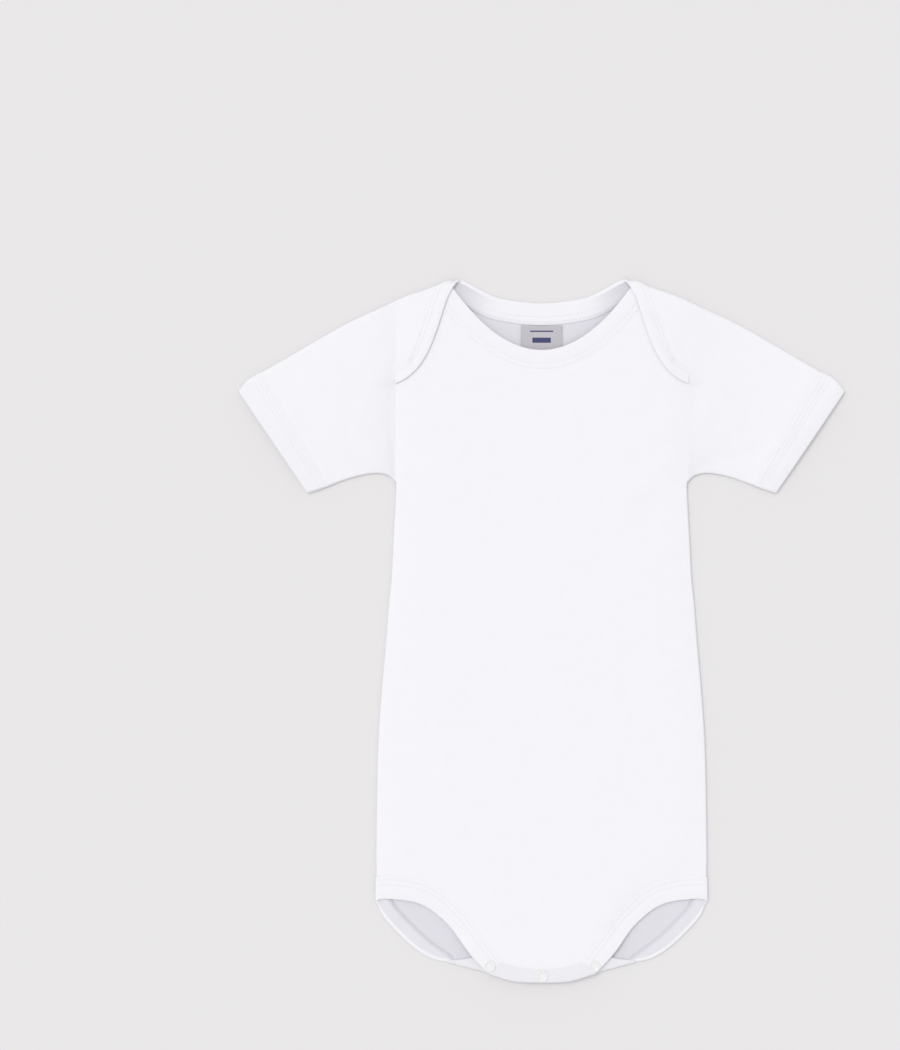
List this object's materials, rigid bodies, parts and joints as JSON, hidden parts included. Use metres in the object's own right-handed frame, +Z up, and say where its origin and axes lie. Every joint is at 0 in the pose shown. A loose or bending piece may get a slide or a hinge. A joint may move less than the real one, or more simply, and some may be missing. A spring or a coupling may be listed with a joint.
{
  "type": "baby bodysuit",
  "caption": "Short-sleeved baby bodysuit laid flat, with overlapping lap shoulders, bound neck and leg openings and a snap-fastened crotch.",
  "frame": {"origin": "middle of the garment's outline, on the surface that it lies on", "axes": "+Y from the crotch to the neck, +X to the right as seen from above, +Z up, out of the front panel"},
  "size_m": [0.394, 0.4554, 0.007],
  "materials": {
    "cloth": "matte",
    "rib": "matte",
    "label_tape": "satin",
    "snap": "satin"
  },
  "bodies": {
    "root": {"body_back": "cloth", "body_front": "cloth", "neck_binding_front": "rib", "neck_binding_back": "rib", "placket_front": "rib", "placket_back": "rib", "label": "label_tape", "sleeve_left": "cloth", "sleeve_right": "cloth", "cuff_left": "rib", "cuff_right": "rib", "leg_binding_left": "rib", "leg_binding_right": "rib", "snap_cap_left": "snap", "snap_stud_left": "snap", "snap_cap_middle": "snap", "snap_stud_middle": "snap", "snap_cap_right": "snap", "snap_stud_right": "snap"}
  },
  "joints": []
}
